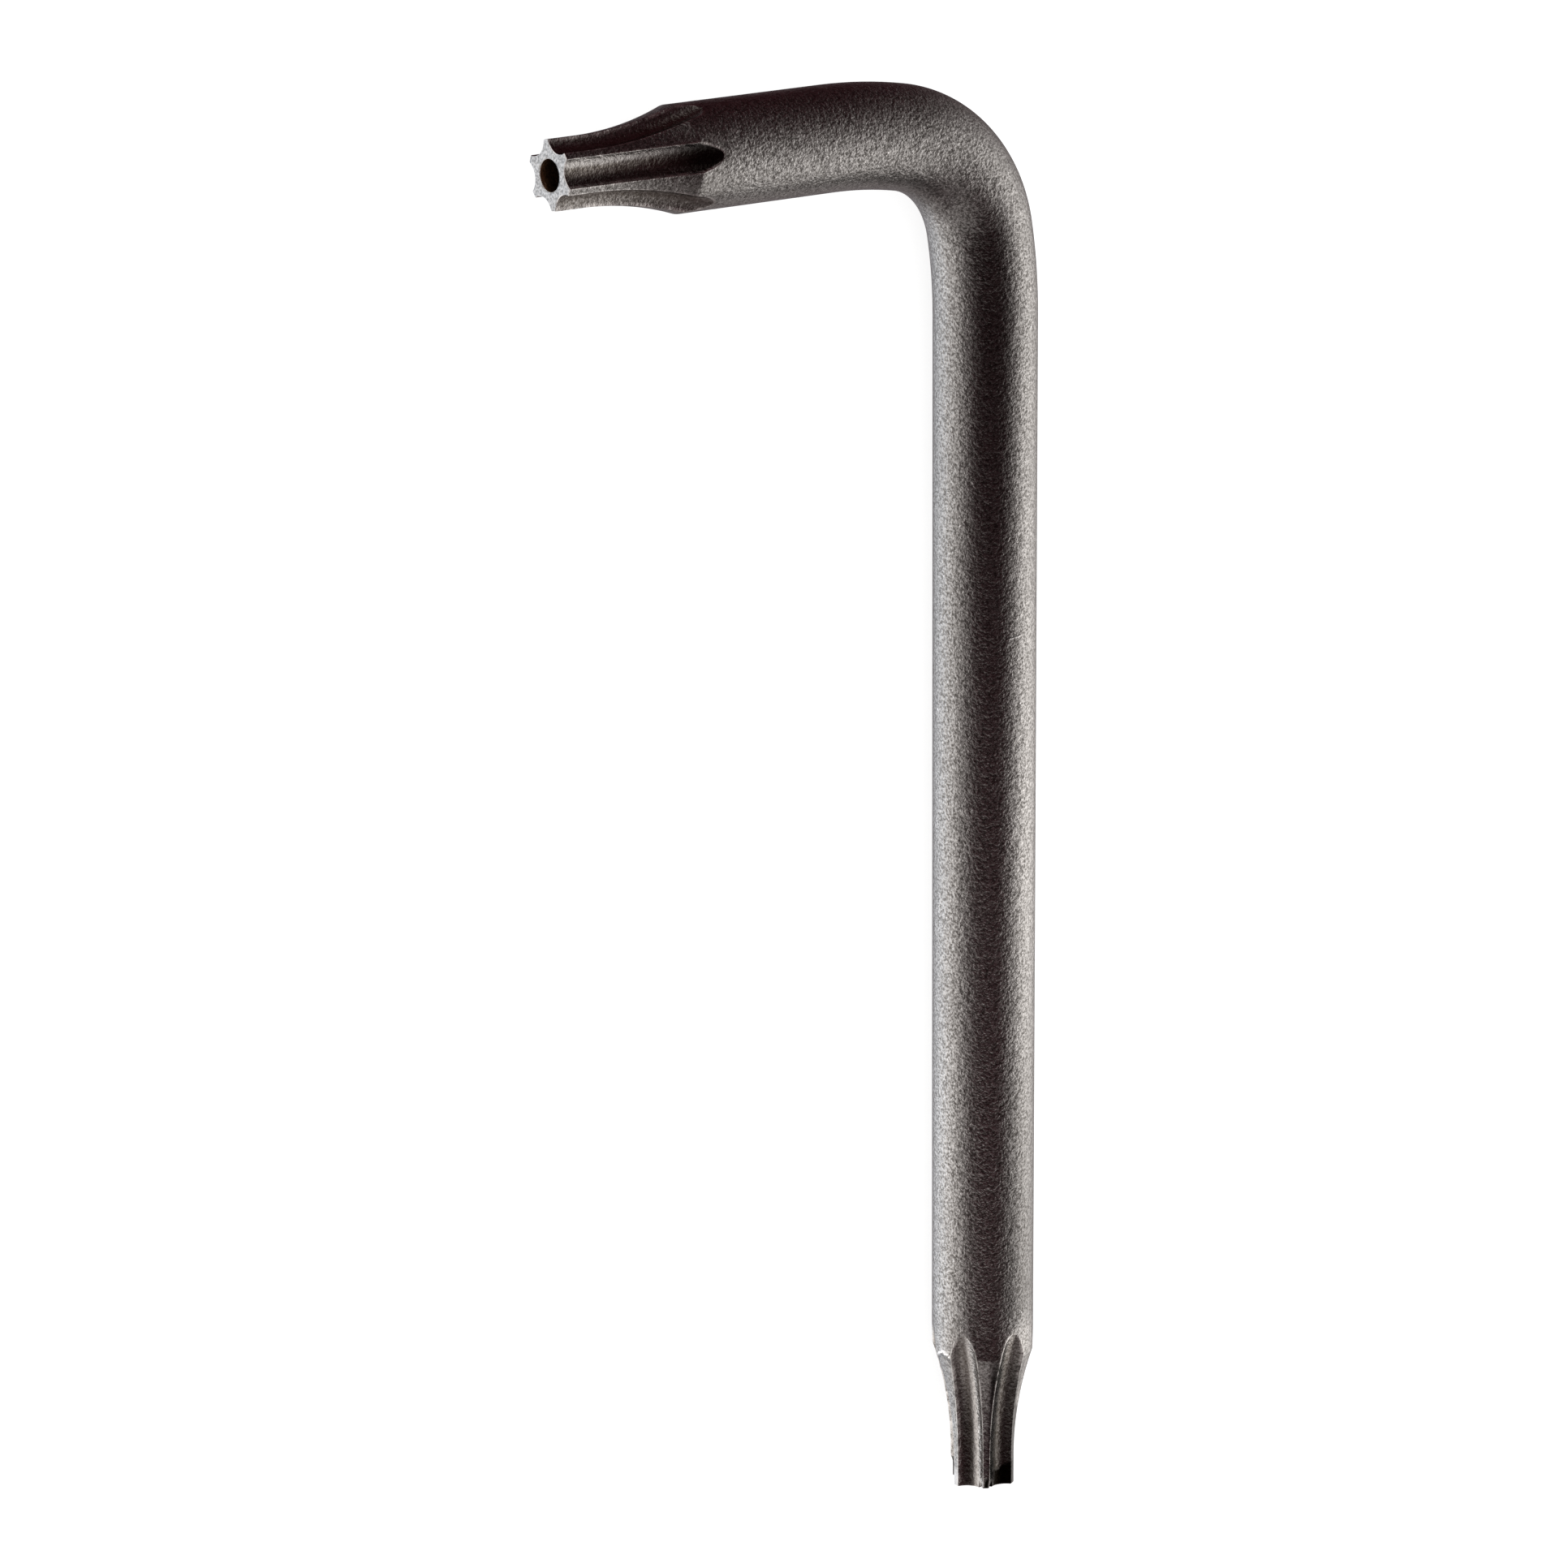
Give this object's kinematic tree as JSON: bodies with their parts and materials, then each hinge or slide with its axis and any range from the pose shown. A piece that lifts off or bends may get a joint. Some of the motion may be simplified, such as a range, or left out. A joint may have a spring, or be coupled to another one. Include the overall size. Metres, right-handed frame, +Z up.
{
  "type": "tamper-resistant six-lobe key",
  "caption": "L-shaped key of round steel bar with a long and a short arm, each ending in a drilled six-lobe tip for tamper-resistant screws.",
  "frame": {"origin": "on the surface the key lies on, under the middle of its overall size", "axes": "+X across the key, away from the short arm's tip; +Y along the long arm, from its tip to the bend; +Z up"},
  "size_m": [0.033, 0.085, 0.006],
  "materials": {
    "steel": "dark satin, finely blasted"
  },
  "bodies": {
    "root": {"key": "steel"}
  },
  "joints": []
}
